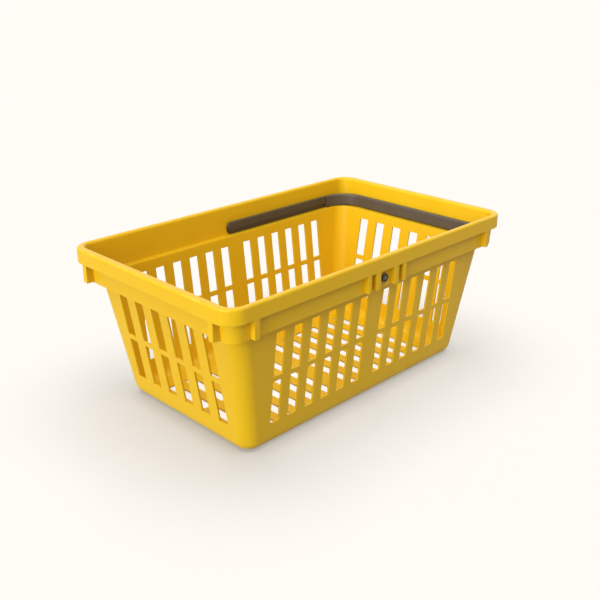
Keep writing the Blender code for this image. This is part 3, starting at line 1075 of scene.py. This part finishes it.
@dataclass
class Pivot:
    """The cap and the rivet at one end of the handle's axis."""

    side: Side
    axis_z: float
    cap_inner: float
    cap_outer: float
    cap_radius: float
    rivet_inner: float
    rivet_outer: float
    bore: float = 0.0037
    round_over: float = 0.0007
    shank: float = 0.0010
    head: float = 0.0020
    head_height: float = 0.0008
    edge: float = 0.0002

    @classmethod
    def from_frame(cls, side: Side, axis_z: float) -> Pivot:
        """Take the cap's and the rivet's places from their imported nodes.

        Args:
            side: Which long side they belong to.
            axis_z: Height of the handle's axis.

        Returns:
            The pivot.
        """
        low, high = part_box("pivot_cap_" + side.word)
        rivet_low, rivet_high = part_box("pivot_rivet_" + side.word)
        away = sorted((abs(low[1]), abs(high[1])))
        reach = sorted((abs(rivet_low[1]), abs(rivet_high[1])))
        return cls(side=side, axis_z=axis_z, cap_inner=away[0], cap_outer=away[1],
                   cap_radius=(high[2] - low[2]) / 2, rivet_inner=reach[0],
                   rivet_outer=reach[1])

    def cap(self) -> bpy.types.Object:
        """Build the cap: a ring with a rounded outer shoulder and a softened bore."""
        small, wide = self.edge, self.round_over
        shoulder = quarter((self.cap_outer - wide, self.cap_radius - wide), wide, 90, 6, -90)
        profile = np.concatenate([
            [(self.cap_inner, self.bore + small), (self.cap_inner, self.cap_radius - small),
             (self.cap_inner + small, self.cap_radius)],
            shoulder,
            [(self.cap_outer, self.bore + small), (self.cap_outer - small, self.bore),
             (self.cap_inner + small, self.bore)]])
        surface = Surface()
        surface.skin(turned(profile, self.axis_z, self.side.value, 48), 0.4, along=True)
        piece = surface.piece("pivot_ring_" + self.side.word, 0.0)
        return hand_over(piece, ARM_BROWN, "pivot_cap_" + self.side.word, Body.HANDLE)

    def rivet(self) -> bpy.types.Object:
        """Build the rivet: a shank with a low domed head, closed on the axis at both ends.

        The head's profile is a quarter ellipse, head radius by head height.
        """
        seat = self.rivet_outer - self.head_height
        turn = np.linspace(0, math.pi / 2, 9)
        dome = np.stack([seat + self.head_height * np.sin(turn), self.head * np.cos(turn)], -1)
        profile = np.concatenate([[(self.rivet_inner, 0.0),
                                   (self.rivet_inner, self.shank - self.edge),
                                   (self.rivet_inner + self.edge, self.shank),
                                   (seat, self.shank)], dome])
        surface = Surface()
        surface.skin(turned(profile, self.axis_z, self.side.value, 32), 0.5)
        piece = surface.piece("pivot_pin_" + self.side.word, 0.0)
        return hand_over(piece, RIVET_GREY, "pivot_rivet_" + self.side.word, Body.HANDLE)


# ---------------------------------------------------------------- the studio


@dataclass(frozen=True)
class Lamp:
    """A soft distant light.

    Attributes:
        name: Name of the lamp.
        strength: Irradiance.
        angle: Angular width in degrees.
        source: Direction that the light comes from.
        colour: Tint of the light.
        shades: Whether objects cast shadows from it.
    """

    name: str
    strength: float
    angle: float
    source: tuple[float, float, float]
    colour: RGB = (1.0, 1.0, 1.0)
    shades: bool = True

    def build(self, receivers: bpy.types.Collection) -> None:
        """Hang the lamp so that it lights only these objects, though anything may shade them.

        Args:
            receivers: The objects that it lights.
        """
        light = bpy.data.lights.new(self.name, "SUN")
        light.energy = self.strength
        light.color = self.colour
        light.angle = math.radians(self.angle)
        light.use_shadow = self.shades
        obj = bpy.data.objects.new(self.name, light)
        way = np.asarray(self.source) / np.linalg.norm(self.source)
        obj.rotation_euler = (math.acos(way[2]), 0.0, math.atan2(way[1], way[0]) + math.pi / 2)
        bpy.context.collection.objects.link(obj)
        obj.light_linking.receiver_collection = receivers


@dataclass
class Studio:
    """Pale floor, soft light from the left and above with a weaker one behind, and the camera.

    The floor has two lamps of its own, one of them without shadows, and the product has the
    others, so that the floor keeps only a soft contact shadow and stays white beside it.
    """

    floor_colour: RGB = (0.300, 0.291, 0.276)
    floor_size: float = 120.0
    backdrop_colour: RGB = (0.991, 0.965, 0.922)
    world_colour: RGB = (1.0, 0.985, 0.97)
    world_strength: float = 0.33
    floor_lamps: tuple[Lamp, ...] = (
        Lamp("floor_light", 4.75, 70.0, (0.06, 0.03, 1.0)),
        Lamp("floor_fill", 4.75, 70.0, (0.0, 0.0, 1.0), shades=False))
    product_lamps: tuple[Lamp, ...] = (
        Lamp("key_light", 3.10, 44.0, (-1.0, -0.12, 0.25), (0.97, 1.0, 0.97)),
        Lamp("side_light", 0.84, 36.0, (-0.05, -1.0, 1.45)),
        Lamp("top_light", 1.25, 60.0, (-0.20, 0.10, 1.0)),
        Lamp("back_light", 0.90, 70.0, (1.0, 0.75, 0.12)))
    camera_place: tuple[float, float, float] = (-0.70456, -0.70440, 0.51091)
    camera_turn: tuple[float, float, float] = (67.526, 0.0, -45.0)
    lens: float = 50.0

    def floor(self) -> bpy.types.Object:
        """Lay the floor at the height the basket stands on.

        Returns:
            The floor, which casts no bounced light up onto the product.
        """
        half = self.floor_size / 2
        mesh = bpy.data.meshes.new("floor")
        mesh.from_pydata([(-half, -half, 0), (half, -half, 0), (half, half, 0),
                          (-half, half, 0)], [], [(0, 1, 2, 3)])
        obj = bpy.data.objects.new("floor", mesh)
        bpy.context.collection.objects.link(obj)
        material = bpy.data.materials.new("pale_floor")
        material.use_nodes = True
        shader = material.node_tree.nodes["Principled BSDF"]
        shader.inputs["Base Color"].default_value = (*self.floor_colour, 1)
        shader.inputs["Roughness"].default_value = 0.9
        shader.inputs["Specular IOR Level"].default_value = 0.0
        mesh.materials.append(material)
        obj.visible_diffuse = False
        return obj

    def world(self) -> bpy.types.World:
        """Make the surround, which lights dimly but looks white, directly and in gloss.

        Returns:
            The world, whose shader is dim for diffuse rays and bright for camera and glossy rays.
        """
        world = bpy.data.worlds.new("studio")
        world.use_nodes = True
        tree = world.node_tree
        dim = tree.nodes["Background"]
        dim.inputs["Color"].default_value = (*self.world_colour, 1)
        dim.inputs["Strength"].default_value = self.world_strength
        seen = add_node(tree, "ShaderNodeBackground", {"Color": (*self.backdrop_colour, 1)})
        rays = tree.nodes.new("ShaderNodeLightPath").outputs
        either = add_node(tree, "ShaderNodeMath", {
            0: rays["Is Camera Ray"], 1: rays["Is Glossy Ray"]}, operation="MAXIMUM")
        mix = add_node(tree, "ShaderNodeMixShader", {
            "Fac": either.outputs[0], 1: dim.outputs[0], 2: seen.outputs[0]})
        tree.links.new(mix.outputs[0], tree.nodes["World Output"].inputs["Surface"])
        return world

    def build(self, lit: list[bpy.types.Object]) -> None:
        """Set the floor, the light and the camera.

        Args:
            lit: Pieces of the product.
        """
        scene = bpy.context.scene
        scene.world = self.world()
        for name, objects, lamps in (("lit_floor", [self.floor()], self.floor_lamps),
                                     ("lit_product", lit, self.product_lamps)):
            group = bpy.data.collections.new(name)
            for obj in objects:
                group.objects.link(obj)
            for lamp in lamps:
                lamp.build(group)
        camera = bpy.data.cameras.new("camera")
        camera.lens = self.lens
        camera.sensor_width = 36.0
        camera.clip_start, camera.clip_end = 0.01, 200.0
        obj = bpy.data.objects.new("camera", camera)
        obj.location = self.camera_place
        obj.rotation_euler = tuple(math.radians(angle) for angle in self.camera_turn)
        bpy.context.collection.objects.link(obj)
        scene.camera = obj
        scene.view_settings.view_transform = "Standard"
        scene.view_settings.look = "None"


def main() -> None:
    """Build the basket, its handle and the studio, in that order."""
    logging.basicConfig(level=logging.INFO, format="%(name)s: %(message)s")
    pieces = [Tub.from_frame().build()]
    grip = Grip.from_frame()
    pieces.append(grip.build())
    for side in Side:
        pivot = Pivot.from_frame(side, grip.axis_z)
        pieces += [Arm.from_frame(side, grip).build(), pivot.cap(), pivot.rivet()]
    Studio().build(pieces)


if __name__ == "__main__":
    main()
